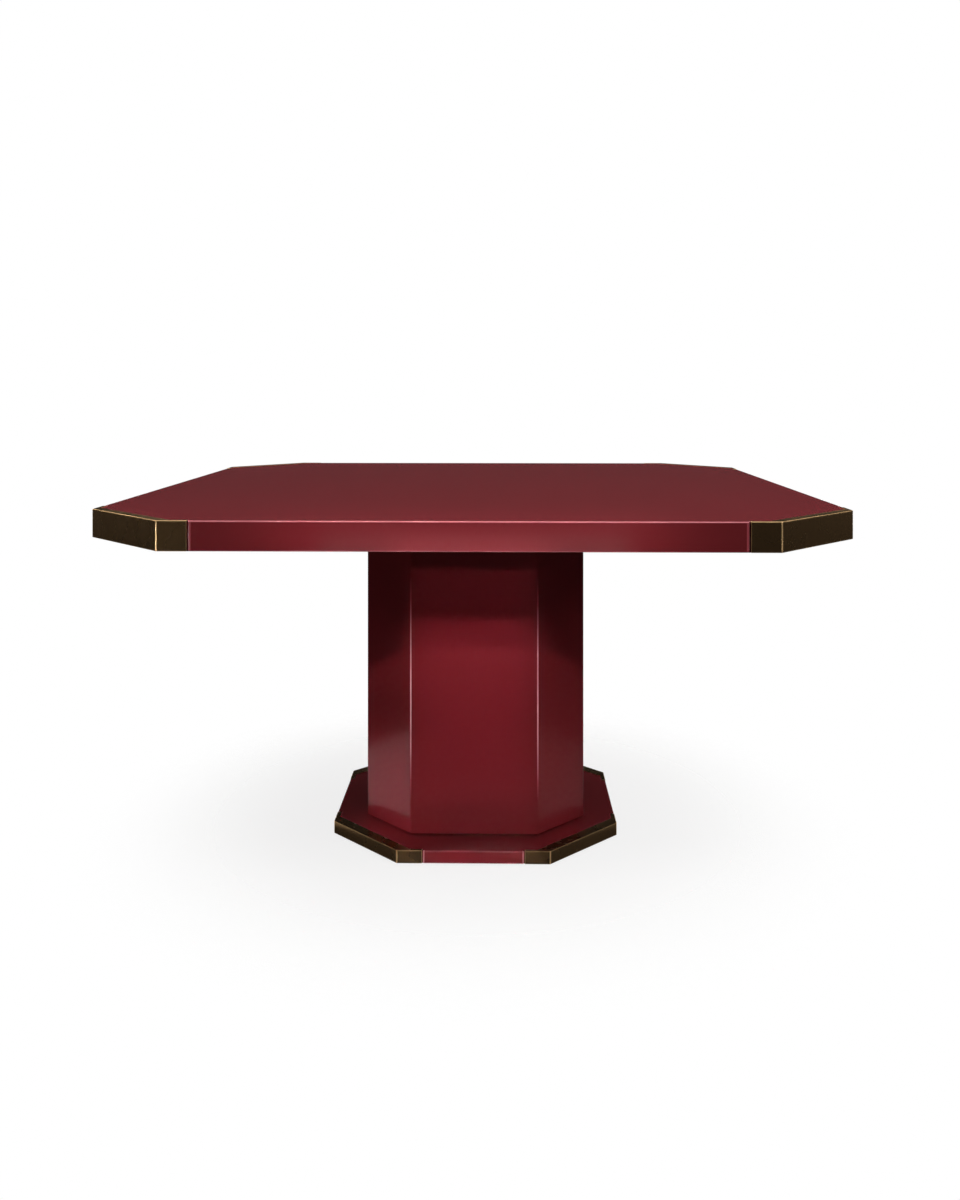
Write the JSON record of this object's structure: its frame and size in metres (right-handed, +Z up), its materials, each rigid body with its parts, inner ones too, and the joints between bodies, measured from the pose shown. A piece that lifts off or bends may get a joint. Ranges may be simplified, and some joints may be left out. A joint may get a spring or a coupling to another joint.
{
  "type": "octagonal pedestal dining table",
  "caption": "Square dining table with cut corners in gloss burgundy lacquer, on an octagonal column and low plinth, with folded brass caps on the cut corners of its top and plinth.",
  "frame": {"origin": "on the floor, under the column's axis", "axes": "+Z up along the column's axis, -Y towards the front of the picture, +X to the right of it"},
  "size_m": [1.401, 1.401, 0.7505],
  "materials": {
    "burgundy_lacquer": "gloss lacquer",
    "aged_brass": "dark patina, satin",
    "birch_plywood": "sanded, bare",
    "zinc_plated_steel": "zinc plated",
    "black_nylon": "moulded, matt"
  },
  "bodies": {
    "root": {"top_board": "burgundy_lacquer", "edge_strip_front": "burgundy_lacquer", "edge_strip_right": "burgundy_lacquer", "edge_strip_back": "burgundy_lacquer", "edge_strip_left": "burgundy_lacquer", "corner_strip_front_right": "burgundy_lacquer", "corner_strip_back_right": "burgundy_lacquer", "corner_strip_back_left": "burgundy_lacquer", "corner_strip_front_left": "burgundy_lacquer", "top_cap_front_right": "aged_brass", "top_cap_back_right": "aged_brass", "top_cap_back_left": "aged_brass", "top_cap_front_left": "aged_brass", "mounting_board": "birch_plywood", "top_bolt_front": "zinc_plated_steel", "top_bolt_right": "zinc_plated_steel", "top_bolt_back": "zinc_plated_steel", "top_bolt_left": "zinc_plated_steel", "top_insert_front": "zinc_plated_steel", "top_insert_right": "zinc_plated_steel", "top_insert_back": "zinc_plated_steel", "top_insert_left": "zinc_plated_steel", "column_panel_front": "burgundy_lacquer", "column_panel_right": "burgundy_lacquer", "column_panel_back": "burgundy_lacquer", "column_panel_left": "burgundy_lacquer", "column_panel_front_right": "burgundy_lacquer", "column_panel_back_right": "burgundy_lacquer", "column_panel_back_left": "burgundy_lacquer", "column_panel_front_left": "burgundy_lacquer", "foot_board": "birch_plywood", "head_board": "birch_plywood", "corner_batten_front_right_1": "birch_plywood", "corner_batten_front_right_2": "birch_plywood", "corner_batten_back_right_1": "birch_plywood", "corner_batten_back_right_2": "birch_plywood", "corner_batten_back_left_1": "birch_plywood", "corner_batten_back_left_2": "birch_plywood", "corner_batten_front_left_1": "birch_plywood", "corner_batten_front_left_2": "birch_plywood", "head_screw_front": "zinc_plated_steel", "head_screw_right": "zinc_plated_steel", "head_screw_back": "zinc_plated_steel", "head_screw_left": "zinc_plated_steel", "plinth_board": "burgundy_lacquer", "plinth_cap_front_right": "aged_brass", "plinth_cap_back_right": "aged_brass", "plinth_cap_back_left": "aged_brass", "plinth_cap_front_left": "aged_brass", "plinth_bolt_front": "zinc_plated_steel", "plinth_bolt_right": "zinc_plated_steel", "plinth_bolt_back": "zinc_plated_steel", "plinth_bolt_left": "zinc_plated_steel", "floor_glide_front_right": "black_nylon", "floor_glide_back_right": "black_nylon", "floor_glide_back_left": "black_nylon", "floor_glide_front_left": "black_nylon"}
  },
  "joints": []
}
